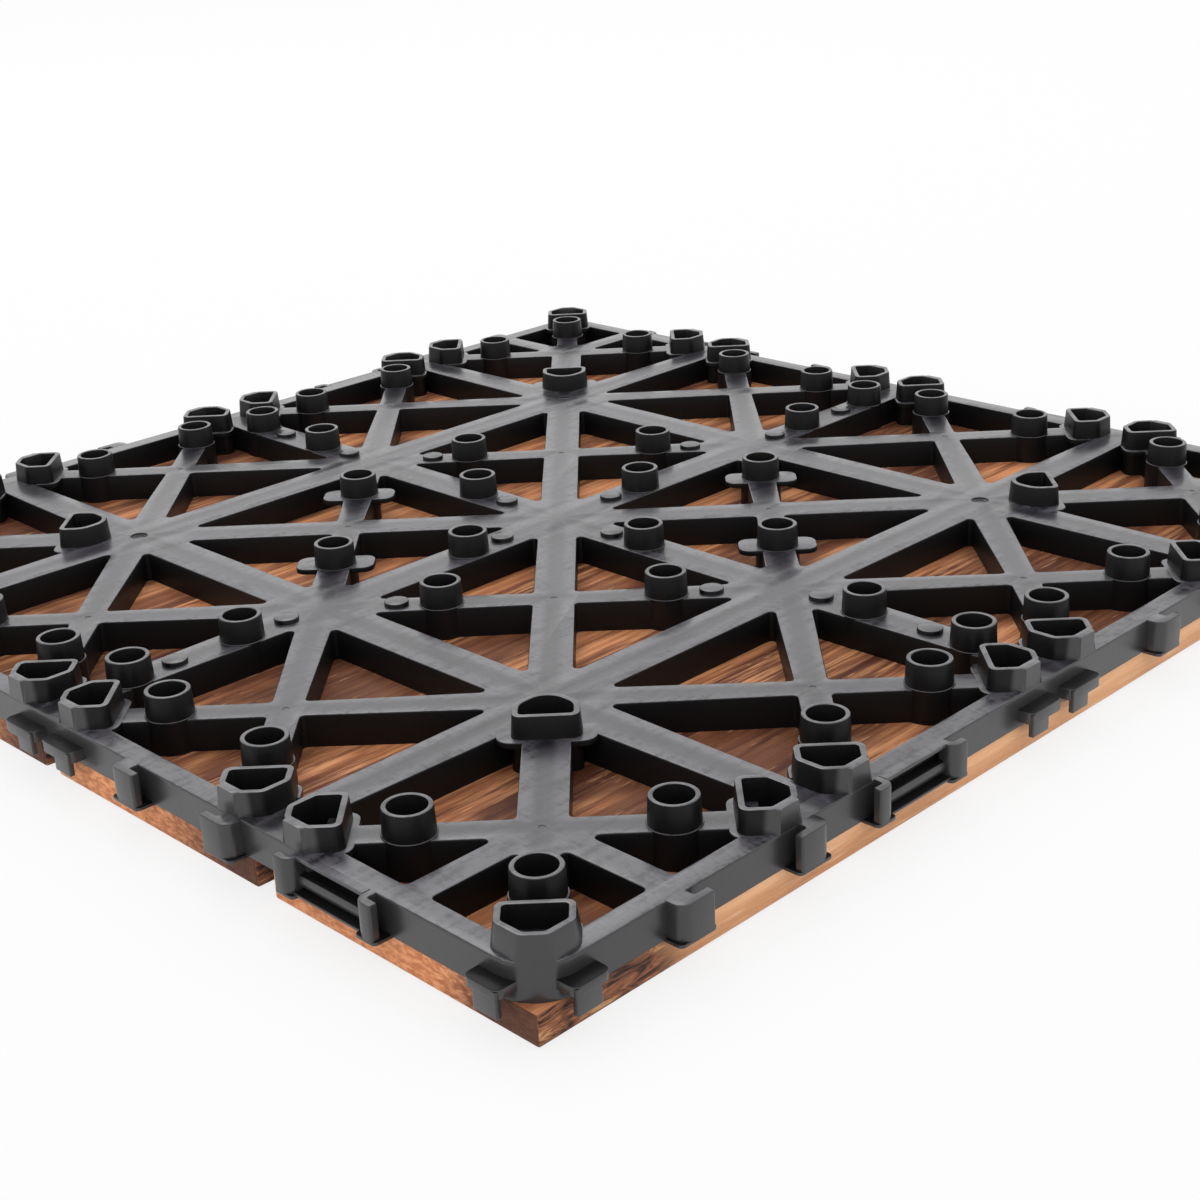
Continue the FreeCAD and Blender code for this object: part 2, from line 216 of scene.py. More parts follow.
class Wire:
    """One output of a shader node. Sums written with it add Math nodes."""

    def __init__(self, tree, output=None):
        self.tree = tree
        self.output = output

    def node(self, kind, settings, values, output=0):
        """Adds a node from its type, its settings, and the values or wires of its sockets."""
        made = self.tree.nodes.new(kind)
        for name, value in settings.items():
            setattr(made, name, value)
        for name, value in values.items():
            if isinstance(value, Wire):
                self.tree.links.new(value.output, made.inputs[name])
            else:
                made.inputs[name].default_value = value
        return Wire(self.tree, made.outputs[output])

    def maths(self, operation, second=0.0):
        return self.node("ShaderNodeMath", {"operation": operation}, {0: self, 1: second})

    def __add__(self, other):
        return self.maths("ADD", other)

    def __sub__(self, other):
        return self.maths("SUBTRACT", other)

    def __mul__(self, other):
        return self.maths("MULTIPLY", other)

    def __rsub__(self, other):
        return self.node("ShaderNodeMath", {"operation": "SUBTRACT"}, {0: other, 1: self})

    def __abs__(self):
        return self.maths("ABSOLUTE")

    __radd__ = __add__
    __rmul__ = __mul__

    def lesser(self, other):
        return self.maths("MINIMUM", other)

    def greater(self, other):
        return self.maths("MAXIMUM", other)

    def scaled(self, factors):
        """A place or vector multiplied along each axis."""
        return self.node("ShaderNodeVectorMath", {"operation": "MULTIPLY"}, {0: self, 1: factors})

    def shifted(self, other):
        return self.node("ShaderNodeVectorMath", {"operation": "ADD"}, {0: self, 1: other})

    def axis(self, letter):
        return self.node("ShaderNodeSeparateXYZ", {}, {0: self}, letter)

    def ramp(self, low, high):
        """0 below one value, 1 above another, smooth between."""
        return self.node("ShaderNodeMapRange", {"interpolation_type": "SMOOTHSTEP"},
                         {"Value": self, "From Min": low, "From Max": high})

    def noise(self, scale, detail=3.0, roughness=0.55, distortion=0.0):
        values = {"Vector": self, "Scale": scale, "Detail": detail, "Roughness": roughness,
                  "Distortion": distortion}
        return self.node("ShaderNodeTexNoise", {}, values)

    def mixed(self, first, second):
        """Colour between two colours, with this wire as the share of the second."""
        first, second = (colour if isinstance(colour, Wire) else (*colour, 1.0)
                         for colour in (first, second))
        # On a Mix node sockets 6 and 7 are the two colours, and output 2 is the colour
        values = {0: self, 6: first, 7: second}
        return self.node("ShaderNodeMix", {"data_type": "RGBA"}, values, output=2)

    def bump(self, distance, strength=1.0, below=None):
        """Relief in metres from this height, on top of another relief."""
        values = {"Height": self, "Distance": distance, "Strength": strength}
        if below is not None:
            values["Normal"] = below
        return self.node("ShaderNodeBump", {}, values)


def new_finish(name, **constants):
    """Empty finish, its shader, and the place on the object in millimetres."""
    finish = bpy.data.materials.new(name)
    finish.use_nodes = True
    shader = finish.node_tree.nodes["Principled BSDF"]
    for socket, value in constants.items():
        shader.inputs[socket.replace("_", " ")].default_value = value
    start = Wire(finish.node_tree)
    place = start.node("ShaderNodeTexCoord", {}, {}, "Object").scaled((1 / mm, 1 / mm, 1 / mm))
    return finish, shader, place


def feed(shader, **wires):
    for socket, wire in wires.items():
        wire.tree.links.new(wire.output, shader.inputs[socket.replace("_", " ")])


def slat_finish(number, near_edge):
    """Wood worn dark on the grid's side, with paler sides and sawn ends that darken to one edge."""
    finish, shader, place = new_finish("slat_wood_" + str(number), Specular_IOR_Level=0.2)
    normal = place.node("ShaderNodeTexCoord", {}, {}, "Normal")
    end_face = abs(normal.axis("X")).ramp(0.6, 0.8)
    side_face = abs(normal.axis("Y")).ramp(0.6, 0.8)
    board = place.shifted(tuple(number * step for step in board_shift))

    def grain(along, scale, detail, roughness):
        """Noise drawn out along the board."""
        return board.scaled((along, 1.0, 1.0)).noise(scale, detail, roughness)

    waves = board.noise(0.02, 2.0).scaled((9.0, 9.0, 9.0))
    bands = board.scaled((0.035, 1.0, 1.0)).shifted(waves).noise(0.16, 4.0, 0.6)
    streaks = grain(0.05, 0.55, 4.0, 0.65)
    fibres = grain(0.04, 1.9, 3.0, 0.6)
    flecks = grain(0.12, 0.9, 3.0, 0.6).ramp(0.60, 0.76)
    patches = grain(0.45, 0.03, 3.0, 0.6)
    worn = bands.ramp(0.34, 0.64).mixed(worn_dark, worn_red)
    worn = streaks.ramp(0.42, 0.68).mixed(worn, worn_streak)
    worn = (patches.ramp(0.44, 0.58) * 0.8).mixed(worn, burnt_patch)
    worn = (flecks * 0.6).mixed(worn, bare_fleck)

    pale = bands.ramp(0.30, 0.70).mixed(side_deep, side_pale)
    pale = (fibres.ramp(0.5, 0.75) * 0.6).mixed(pale, side_fibre)
    cracks = board.scaled((0.35, 1.0, 1.6)).noise(0.28, 4.0, 0.65, 0.8)
    charred = cracks.ramp(0.42, 0.58).mixed(char_black, char_brown)
    charred = (cracks.ramp(0.56, 0.66) * 0.75).mixed(charred, char_crack)
    near_corner = (place.axis("X") + patches * 60.0).ramp(char_from, char_full)
    side = near_corner.mixed(pale, charred)

    rings = board.scaled((1.0, 0.9, 2.2)).noise(0.5, 4.0, 0.6)
    stain_from = near_edge + stain_reach[number - 1]
    stain_full = stain_from - stain_fade[number - 1]
    stain = (place.axis("Y") + rings * 10.0).ramp(stain_from, stain_full)
    sawn = rings.ramp(0.36, 0.66).mixed(sawn_deep, sawn_light)
    sawn = (stain * 0.9).mixed(sawn, sawn_stain)

    colour = end_face.mixed(side_face.mixed(worn, side), sawn)
    feed(shader, Base_Color=colour, Roughness=fibres * 0.3 + 0.42,
         Normal=(fibres * 0.5 + streaks * 0.6).bump(0.0005, 0.8))
    return finish


for number in range(1, slat_count + 1):
    name = "slat_" + str(number)
    low, high = (corner * (1 / mm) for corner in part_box(name))
    corners = [(low.x, low.y), (high.x, low.y), (high.x, high.y), (low.x, high.y)]
    board = Shape()
    board.plate(rounded(corners, slat_corner), 0.0, slat_high, slat_edge, slat_top_edge)
    board = board.piece("board_" + str(number), slat_finish(number, low.y))
    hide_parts(name)


# Base grid: one black moulding of polypropylene with a fine grained surface. Its square frame and
# ribs lie on the boards. The ribs sink a little along their middles, where the plastic cooled last.

pitch = 75.0
cells = 4
half = cells * pitch / 2
grid_low = 6.4
grid_high = 13.5
leg_high = 19.0
leg_floor = 9.4
frame_inset = 4.0
frame_wall = 5.0
frame_face = half - frame_inset
frame_corner = 9.0
frame_corner_steps = 8
side_turns = (0, 90, 180, 270)
edge_ease = 0.35
window_corner = 1.0
channel_start = 90.5
channel_length = 18.1
side_shift = -2.8
channel_low = grid_low + 2.9
channel_high = grid_high - 0.7
channel_depth = 1.2

# Half the widths of the ribs: those along X and Y, and their ends at the frame; the short ones
# near the corners; the diagonals through the middle, and the others at a crossing and at a cell
straight_rib = 5.5
straight_rib_end = 4.2
short_rib = 3.2
main_diagonal = 4.8
diagonal_at_crossing = 4.3
diagonal_at_cell = 3.4

# Shallow marks of the mould: (wider than the radius, below the ribs' top) from the floor up
recess_radius = 2.1
recess_profile = ((-0.3, 0.6), (0.0, 0.4), (0.0, 0.15), (0.15, 0.0))
recess_sides = 24
dimple_radius = 0.8
dimple_profile = ((-0.2, 0.15), (0.0, 0.0))
dimple_sides = 12

plastic_black = (0.006, 0.005, 0.008)
# Grey of the tops: partly dust and rubbing, partly a painted sheen that makes the rib tops lighter
# than the walls, as the white backdrop they reflect would
plastic_dust_and_sheen = (0.036, 0.032, 0.043)
# Scuffs, and a painted highlight along the rib edges where the sunk tops catch the light
plastic_scuffs_and_edge_light = (0.088, 0.083, 0.097)
plastic_inside = (0.0062, 0.0062, 0.0066)
# The frame's outer faces are painted lighter for the light the white floor throws on them. The walls
# inside keep the plain black.
plastic_outside_floor_lit = (0.030, 0.0295, 0.031)
rubbed_and_lit_top_from = grid_high - 1.2
rubbed_and_lit_top_full = grid_high - 0.6
outside_from = frame_face - 2.4
outside_full = frame_face - 1.4
corner_allowance = 3.0
sink_half_width = 3.0
sink_depth = 0.00035


def from_rib_middle(place, share=1.0):
    """Distance from the nearest of the lines along the middles of the ribs."""
    return abs((place * (1 / pitch) + 0.5).maths("FRACT") - 0.5) * (pitch * share)


def grid_finish():
    """Black plastic, dull inside and shiny on top. The tops are grey partly from rubbing and dust and
    partly from a painted sheen, with a painted highlight along the rib edges, and the frame's outer
    faces are painted lighter for the light the white floor throws on them, under a light gloss.
    """
    finish, shader, place = new_finish("grid_plastic", Specular_IOR_Level=0.22,
                                       Coat_Roughness=0.25, Coat_IOR=1.7)
    east, north = place.axis("X"), place.axis("Y")
    grain = place.noise(1.6, 4.0, 0.65)
    cloud = place.noise(0.045, 4.0, 0.6)
    scuffs = place.scaled((0.25, 1.0, 1.0)).noise(0.5, 3.0, 0.6)
    fine = place.scaled((1.0, 0.4, 1.0)).noise(0.9, 4.0, 0.7)

    upward = place.node("ShaderNodeTexCoord", {}, {}, "Normal").axis("Z").ramp(0.5, 0.9)
    # Mask of the top faces: these get the rubbed grey with its painted sheen, the coat and the sunk
    # middles
    rubbed_and_lit_top = upward * place.axis("Z").ramp(rubbed_and_lit_top_from, rubbed_and_lit_top_full)
    reach = abs(east).greater(abs(north))
    corner_reach = (abs(east) + abs(north)) * 0.5 + corner_allowance
    # Mask of the frame's outer walls, which are painted lighter for the floor's bounced light
    outside = reach.greater(corner_reach).ramp(outside_from, outside_full) * (1.0 - upward)
    from_middle = from_rib_middle(east).lesser(from_rib_middle(north))
    for slanting in (east + north, east - north):
        from_middle = from_middle.lesser(from_rib_middle(slanting, math.sqrt(0.5)))

    # Patches where the tops turn grey: dust, and the painted sheen
    dust_and_sheen = (cloud * 0.5 + scuffs * 0.35 + fine * 0.25).ramp(0.40, 0.70)
    # Lighter towards the rib edges: scuffs, and a painted highlight where the sunk tops catch the
    # light
    worn = from_middle.ramp(0.8, 3.2) * (fine * 0.5 + scuffs * 0.6).ramp(0.40, 0.62)
    top = worn.mixed(dust_and_sheen.mixed(plastic_black, plastic_dust_and_sheen), plastic_scuffs_and_edge_light)
    colour = rubbed_and_lit_top.mixed(outside.mixed(plastic_inside, plastic_outside_floor_lit), top)
    sink = (rubbed_and_lit_top * from_middle.ramp(0.0, sink_half_width)).bump(sink_depth, 0.8)
    relief = (grain * 0.35 + cloud * 0.7).bump(0.0002, 0.7, sink)
    feed(shader, Base_Color=colour, Roughness=cloud * 0.16 + scuffs * 0.10 + 0.26,
         Coat_Weight=(rubbed_and_lit_top * 0.88).greater(outside * 0.5), Normal=relief)
    return finish


black = grid_finish()


def moulded(shape, name, smooth_below=32):
    """A part of the black moulding: it stands for the grid's node with the others."""
    made = shape.piece(name, black, smooth_below)
    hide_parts("base_grid")


def node_place(i, j):
    return (i * pitch - half, j * pitch - half)


def middle(points):
    return tuple(sum(values) / len(points) for values in zip(*points))


def rib_edge(here, there):
    """Half the rib's width at the end 'here' of the run to 'there'."""
    (i, j), (m, n) = here, there
    if i == m or j == n:
        line = i if i == m else j
        if line in (0, cells):
            return frame_inset + frame_wall
        if line != int(line):
            return short_rib
        return straight_rib_end if i in (0, cells) or j in (0, cells) else straight_rib
    steps = [abs(index - cells / 2) for index in (i, j, m, n)]
    if max(steps) < cells / 2 and steps[0] == steps[1] and steps[2] == steps[3]:
        return main_diagonal
    at_crossing = i == int(i) and i not in (0, cells) and j not in (0, cells)
    return diagonal_at_crossing if at_crossing else diagonal_at_cell


def window(corners):
    """Opening between the ribs that join some lattice points, clockwise, with rounded corners."""
    inside = Vector(middle([node_place(*corner) for corner in corners]))
    lines = []
    for index, here in enumerate(corners):
        there = corners[(index + 1) % len(corners)]
        start, end = Vector(node_place(*here)), Vector(node_place(*there))
        along = (end - start).normalized()
        normal = Vector((-along.y, along.x))
        if normal.dot(inside - start) < 0:
            normal.negate()
        lines.append((start + normal * rib_edge(here, there), end + normal * rib_edge(there, here)))
    points = []
    for index, (c, d) in enumerate(lines):
        a, b = lines[index - 1]
        share = (c - a).cross(d - c) / (b - a).cross(d - c)
        points.append(a + (b - a) * share)
    turn = (points[1] - points[0]).cross(points[2] - points[1])
    points = points[::-1] if turn > 0 else points
    return rounded([(point.x, point.y) for point in points], window_corner)


def tile_corner(point):
    return point[0] in (0, cells) and point[1] in (0, cells)


windows = []
for i in range(cells):
    for j in range(cells):
        hub = (i + 0.5, j + 0.5)
        square = [(i, j), (i + 1, j), (i + 1, j + 1), (i, j + 1)]
        for first, second in zip(square, square[1:] + square[:1]):
            if tile_corner(first) or tile_corner(second):
                split = middle([first, second])
                windows += [window([first, split, hub]), window([split, second, hub])]
            else:
                windows.append(window([first, second, hub]))


def turned(point, degrees):
    """Plan point turned about the middle of the tile."""
    angle = math.radians(degrees)
    x, y = point
    return (x * math.cos(angle) - y * math.sin(angle), x * math.sin(angle) + y * math.cos(angle))


def row_starts(degrees):
    """Where the two rows of hooks start along a side. The left and right rows lie a little back."""
    shift = 0.0 if degrees in (0, 180) else side_shift
    return (shift - half, shift)


def frame_outline(inset, notch):
    """The frame's outline, with a notch of some depth at each channel, or flush with 0."""
    reach = frame_face - inset
    radius = frame_corner - inset
    outline = []
    for degrees in side_turns:
        side = []
        for row in row_starts(degrees):
            start = row + channel_start
            end = start + channel_length
            side.append((start, -reach))
            if notch:
                side += [(start, notch - frame_face), (end, notch - frame_face)]
            side.append((end, -reach))
        for step in range(frame_corner_steps + 1):
            angle = math.tau / 4 * step / frame_corner_steps
            side.append((reach - radius + radius * math.sin(angle),
                         radius - reach - radius * math.cos(angle)))
        outline += [turned(point, degrees) for point in side]
    return outline


lattice = Shape()
flush_sides = frame_outline(0, 0)
notched_sides = frame_outline(0, channel_depth)
edge = [(inset, grid_high - drop) for inset, drop in eased(edge_ease)]
foot = lattice.walls([(flush_sides, grid_low), (flush_sides, channel_low)])
lattice.walls([(notched_sides, channel_low), (notched_sides, channel_high)])
brow = lattice.walls([(flush_sides, channel_high), (flush_sides, grid_high - edge_ease)]
                     + [(frame_outline(inset, 0), level) for inset, level in edge])
bottom = [foot[0]]
top = [brow[-1]]
for degrees in side_turns:
    for row in row_starts(degrees):
        start = row + channel_start
        end = start + channel_length
        back = channel_depth - frame_face
        loop = [(start, -frame_face), (end, -frame_face), (end, back), (start, back)]
        loop = [turned(point, degrees) for point in loop]
        lattice.cap([lattice.ring(loop, channel_low)])
        lattice.cap([lattice.ring(loop, channel_high)], upward=False)
for loop in windows:
    rings = lattice.walls([(loop, grid_low), (loop, grid_high - edge_ease)]
                          + [(moved_in(loop, inset), level) for inset, level in edge])
    bottom.append(rings[0])
    top.append(rings[-1])
crossings = [(x, y) for x in (-pitch, pitch) for y in (-pitch, pitch)]
hubs = [node_place(i + 0.5, j + 0.5) for i in range(cells) for j in range(cells)]
for centres, radius, profile, sides in (
        (crossings, recess_radius, recess_profile, recess_sides),
        (hubs, dimple_radius, dimple_profile, dimple_sides)):
    for centre in centres:
        rings = lattice.walls([(circle(centre, radius + wider, sides, -1), grid_high - depth)
                               for wider, depth in profile])
        lattice.cap([rings[0]])
        top.append(rings[-1])
lattice.cap(bottom, upward=False)
lattice.cap(top)
moulded(lattice, "lattice")


# Round legs: tapered tubes moulded with the grid, open at the top, with a floor just above the
# board. They carry the laid tile, and some of them hold the screws.

leg_foot_radius = 5.3
leg_rim_radius = 4.7
leg_bore = 3.75
leg_sides = 36
leg_taper = (leg_foot_radius - leg_rim_radius) / (leg_high - grid_low)
flange_radius = 5.2
flange_high = grid_high + 0.2
corner_leg = 21.6
border_leg = 21.0
rib_legs = (25.0, 53.5)
crossing_leg = 19.5
axis_leg = 30.0


def quarter_turns(points):
    return [turned(point, degrees) for point in points for degrees in side_turns]


leg_places = [(corner_leg - half, corner_leg - half)]
leg_places += [(node_place(index, 0)[0] + side * border_leg, border_leg - half)
               for index in (1, 2, 3) for side in (-1, 1)]
leg_places += [(inset - half, 0.0) for inset in rib_legs]
leg_places += [(crossing_leg - pitch, side * crossing_leg) for side in (-1, 1)]
leg_places.append((-axis_leg, 0.0))

leg_profile = [
    (0, grid_low), (leg_foot_radius, grid_low),
    (flange_radius, grid_high), (flange_radius, flange_high - 0.1),
    (flange_radius - 0.1, flange_high),
    (leg_foot_radius - leg_taper * (flange_high - grid_low), flange_high),
    (leg_rim_radius + 0.02, leg_high - 0.25), (leg_rim_radius - 0.06, leg_high - 0.08),
    (leg_rim_radius - 0.22, leg_high), (leg_bore + 0.15, leg_high),
    (leg_bore + 0.04, leg_high - 0.06), (leg_bore, leg_high - 0.18),
    (leg_bore - 0.12, leg_floor + 0.2), (leg_bore - 0.3, leg_floor), (0, leg_floor)]

round_legs = Shape()
for centre in quarter_turns(leg_places):
    round_legs.turned_form(centre, leg_profile, leg_sides)
moulded(round_legs, "round_legs", smooth_below=40)


# D-shaped legs: the same tubes with one flat side, a little lower and wider. They sit beside the
# frame and round the quarter crossings, and flanges level with the ribs tie their flat sides in.

d_leg_high = 18.3
d_half_width = 6.6
d_chord = 5.3
d_shoulder = 1.0
d_nose = 5.3
d_nose_half = 2.3
d_wall = 1.2
d_chord_corner = 1.8
d_bend = 2.3
crossing_bend = 5.2
border_draft = 0.35
crossing_draft = 0.4
corner_draft = 0.7
flush_from = 145.2
flush_reach = frame_face - 0.05
corner_d = 11.0
border_d = 10.1
border_d_offset = 9.0
crossing_d = 9.2
flange_low = grid_high - 1.2
flange_top = grid_high + 0.02

# The rim and bore of a D, as (wall inwards from the outline, level)
d_rim = [(0.0, d_leg_high - 0.2), (0.06, d_leg_high - 0.06), (0.2, d_leg_high),
         (d_wall - 0.15, d_leg_high), (d_wall - 0.04, d_leg_high - 0.05),
         (d_wall, d_leg_high - 0.18), (d_wall + 0.1, leg_floor)]


def set_down(points, degrees, origin):
    """Plan points turned, then moved to their place."""
    return [(origin[0] + x, origin[1] + y) for x, y in (turned(point, degrees) for point in points)]


def on_all_sides(seats):
    return [(turned(origin, side), degrees + side)
            for origin, degrees in seats for side in side_turns]


def d_outline(wall, bend):
    """The D's outline, moved in by a wall, with the round side bent by a radius."""
    slant = math.atan2(d_half_width - d_nose_half, d_nose - d_shoulder)
    nose = d_nose_half - wall * (1 - math.cos(slant)) / math.sin(slant)
    shoulder = d_shoulder - wall * math.tan(slant / 2)
    width = d_half_width - wall
    points = [(d_chord - wall, -width), (d_chord - wall, width), (-shoulder, width),
              (wall - d_nose, nose), (wall - d_nose, -nose), (-shoulder, -width)]
    radii = [d_chord_corner - wall * 0.8] * 2 + [bend - wall] * 4
    return rounded(points, radii, 5)


def bar(start, end, half_width, radii):
    """Plan outline of a bar across the D's axis."""
    points = [(start, -half_width), (end, -half_width), (end, half_width), (start, half_width)]
    return rounded(points, radii)


def flush(points):
    """Plan points of a D's foot, with its outer side brought out to the frame's face."""
    return [tuple(math.copysign(flush_reach, value) if abs(value) > flush_from else value
                  for value in point) for point in points]


# Where each D sits and which way its flat side faces. The feet at the first two corners, near and
# right, are drawn out more than the rest.
corner_seats = on_all_sides([((corner_d - half, corner_d - half), 45)])
border_seats = on_all_sides([
    ((node_place(index, 0)[0] + side * border_d_offset, border_d - half), degrees)
    for index in (1, 2, 3) for side, degrees in ((-1, 135), (1, 45))])
crossing_seats = on_all_sides([((-pitch - crossing_d, -pitch - crossing_d), 225)])
wing_places = ((crossing_leg - pitch, crossing_leg), (crossing_leg, crossing_leg - pitch))
winged_seats = [(turned(place, turn), 45 + turn) for turn in (0, 180) for place in wing_places]

d_legs = Shape()
for seats, draft, bend in ((corner_seats[:2], corner_draft, d_bend),
                           (corner_seats[2:] + border_seats, border_draft, d_bend),
                           (crossing_seats, crossing_draft, crossing_bend)):
    profile = [(-draft, grid_low), (-draft, grid_high)] + d_rim
    for origin, degrees in seats:
        rings = d_legs.walls([(flush(set_down(d_outline(wall, bend), degrees, origin)), level)
                              for wall, level in profile])
        d_legs.cap([rings[0]], upward=False)
        d_legs.cap([rings[-1]])
moulded(d_legs, "d_legs", smooth_below=40)

border_flange = bar(1.0, 7.0, 7.6, [0.3, 2.6, 2.6, 0.3])
crossing_flange = bar(-1.0, 6.9, 10.0, [0.3, 3.2, 3.2, 0.3])
wing = bar(-3.6, 5.0, 9.4, 2.8)
flanges = Shape()
for seats, loop in ((corner_seats + border_seats, border_flange),
                    (crossing_seats, crossing_flange), (winged_seats, wing)):
    for origin, degrees in seats:
        flanges.plate(set_down(loop, degrees, origin), flange_low, flange_top)
moulded(flanges, "leg_flanges")


# Buttons: small round studs on the ribs where the mould's pins push the part out. Each stands
# a millimetre proud of the rib and is part of the moulding.

button_radius = 2.8
button_high = grid_high + 1.0
button_sides = 32
rib_buttons = (36.0, 65.5)
centre_button = 19.0
slanting_button = 12.25

button_places = quarter_turns([(inset - half, 0.0) for inset in rib_buttons]
                              + [(-centre_button, 0.0)])
slanting_places = [(slanting_button - pitch, -slanting_button),
                   (-slanting_button, slanting_button - pitch)]
button_places += slanting_places + [(-x, -y) for x, y in slanting_places]
button_profile = [
    (0, grid_low), (button_radius, grid_low), (button_radius, button_high - 0.25),
    (button_radius - 0.08, button_high - 0.08), (button_radius - 0.25, button_high), (0, button_high)]

buttons = Shape()
for centre in button_places:
    buttons.turned_form(centre, button_profile, button_sides)
moulded(buttons, "buttons", smooth_below=40)


# Hooks, tabs and channels: what stands on the frame's sides. Each tile's hooks drop over the
# tabs and ledges of its neighbours. All are moulded with the grid.

hook_reach = 3.7
hook_arm = 1.9
hook_root = 1.0
hook_low = grid_low - 0.5
hook_high = grid_high - 0.01
hook_corners = [0, 2.2, 0.5, 0.4, 0.4, 0]
foot_high = hook_low + 0.7
foot_lap = 0.2
foot_root = 0.5
foot_margin = 0.55
foot_lip = 0.02
foot_corners = [0, 1.0, 1.0, 0]
foot_edges = (0.15, 0.2)
wide_hooks = (33.6, 64.0)
wide_width = 7.9
wide_slot = 3.2
narrow_width = 4.4
narrow_slot = 2.7

# Tabs along a side, as (start, width, thickness)
tabs_along = ((9.2, 8.2, 1.8), (135.1, 10.9, 2.6), (149.5, 10.9, 2.6), (282.0, 8.2, 1.8))
tab_reach = 3.5
tab_high = grid_high - 3.2
tab_corners = [0, 1.6, 1.6, 0]
tab_edges = (0.15, 0.25)
tongue_start = 0.3
tongue_width = 5.6
tongue_thickness = 1.2
tongue_reach = tab_reach - 0.02
tongue_low = grid_low - 1.4
tongue_high = tab_high - 0.3
tongue_corner = 0.25
tongue_edges = (0.2, 0.0)

# Profiles of a channel's ledge and roof, as (distance out, level), counterclockwise
ledge_profile = [(out, grid_low + level) for out, level in (
    (-hook_root, 0.0), (2.75, 0.0), (2.9, 0.15), (2.9, 0.5), (2.8, 0.6), (0.6, 0.65), (0.6, 1.15),
    (1.1, 1.2), (1.4, 1.45), (1.55, 2.1), (1.5, 2.8), (1.2, 3.3), (0.7, 3.55), (-hook_root, 3.6))]
roof_profile = [(out, grid_high - level) for out, level in (
    (-0.8, 0.7), (1.5, 0.7), (1.62, 0.6), (1.65, 0.4), (1.6, 0.15), (1.4, 0.01), (-0.8, 0.01))]


def side_outline(points, corners, turn):
    """Plan outline of points given along the front side and out from its face, on any side."""
    placed = [(x, -frame_face - out) for x, out in rounded(points, corners)]
    area = sum(a[0] * b[1] - b[0] * a[1] for a, b in zip(placed, placed[1:] + placed[:1]))
    placed = placed if area > 0 else placed[::-1]
    return [turned(point, turn) for point in placed]


def add_hook(shape, start, width, slot, opening, turn):
    """Upright L on the frame's face, with a foot that closes its bottom."""
    end = start + width
    inner = hook_reach - hook_arm
    solid, open_end, slot_edge = (start, end, end - slot)
    if opening < 0:
        solid, open_end, slot_edge = (end, start, start + slot)
    points = [(solid, -hook_root), (solid, hook_reach), (open_end, hook_reach), (open_end, inner),
              (slot_edge, inner), (slot_edge, -hook_root)]
    shape.plate(side_outline(points, hook_corners, turn), hook_low + foot_lap, hook_high)
    first, last, reach = start - foot_margin, end + foot_margin, hook_reach + foot_lip
    points = [(first, -foot_root), (first, reach), (last, reach), (last, -foot_root)]
    shape.plate(side_outline(points, foot_corners, turn), hook_low, foot_high, *foot_edges)


def add_tab(shape, start, width, thickness, mirrored, turn):
    """Shelf on the frame's face with a thin tongue hanging in front of the wood."""
    start = half - start - width if mirrored else start - half
    end = start + width
    points = [(start, -hook_root), (start, tab_reach), (end, tab_reach), (end, -hook_root)]
    outline = side_outline(points, tab_corners, turn)
    shape.plate(outline, tab_high - thickness, tab_high, *tab_edges)
    first = start + (width - tongue_start - tongue_width if mirrored else tongue_start)
    last = first + tongue_width
    back = tab_reach - tongue_thickness
    points = [(first, back), (first, tongue_reach), (last, tongue_reach), (last, back)]
    outline = side_outline(points, tongue_corner, turn)
    shape.plate(outline, tongue_low, tongue_high, *tongue_edges)


def add_rail(shape, profile, start, turn):
    """Bar of one profile along a channel."""
    rings = []
    for x in (start, start + channel_length):
        first = len(shape.points)
        shape.points += [(*turned((x, -frame_face - out), turn), level) for out, level in profile]
        rings.append(list(range(first, len(shape.points))))
    shape.wall(*rings)
    for ring, way in zip(rings, (-1.0, 1.0)):
        loop = [Vector(shape.points[index]) for index in ring]
        outwards = Vector((*turned((way, 0.0), turn), 0.0))
        for corners in geometry.tessellate_polygon([loop]):
            a, b, c = (loop[index] for index in corners)
            face = tuple(ring[index] for index in corners)
            faces_out = (b - a).cross(c - a).dot(outwards) > 0
            shape.faces.append(face if faces_out else face[::-1])


hooks = Shape()
tabs = Shape()
rails = Shape()
for mirrored, turn in ((False, 0), (False, 180), (True, 90), (True, 270)):
    for row in row_starts(turn):
        for start, opening in zip(wide_hooks, (1, -1)):
            add_hook(hooks, row + start, wide_width, wide_slot, opening, turn)
        first = row + channel_start
        last = first + channel_length
        add_hook(hooks, first - narrow_width, narrow_width, narrow_slot, -1, turn)
        add_hook(hooks, last, narrow_width, narrow_slot, 1, turn)
        add_rail(rails, ledge_profile, first, turn)
        add_rail(rails, roof_profile, first, turn)
    for start, width, thickness in tabs_along:
        add_tab(tabs, start, width, thickness, mirrored, turn)
moulded(hooks, "hooks")
moulded(tabs, "tabs")
moulded(rails, "channel_rails")


# Screws: sixteen zinc-plated wood screws with cross recesses, seated on the floors of the round
# legs at the ends of the boards. They hold the grid on the wood.

shank_radius = 1.5
head_radius = 3.0
head_high = leg_floor + 1.5
tip_radius = 0.5
tip_low = leg_floor - 8.0
tip_length = 1.5
screw_sides = 24
cross_reach = 1.5
cross_half = 0.4
cross_depth = 1.0
zinc_dull = (0.50, 0.50, 0.48)
zinc_bright = (0.66, 0.66, 0.63)


def screw_finish():
    """Zinc with a thin cloudy film from handling."""
    finish, shader, place = new_finish("screw_zinc", Metallic=1.0)
    wear = place.noise(1.3, 3.0, 0.6)
    feed(shader, Base_Color=wear.ramp(0.35, 0.65).mixed(zinc_dull, zinc_bright),
         Roughness=wear * 0.25 + 0.25, Normal=wear.bump(0.00005, 0.4))
    return finish


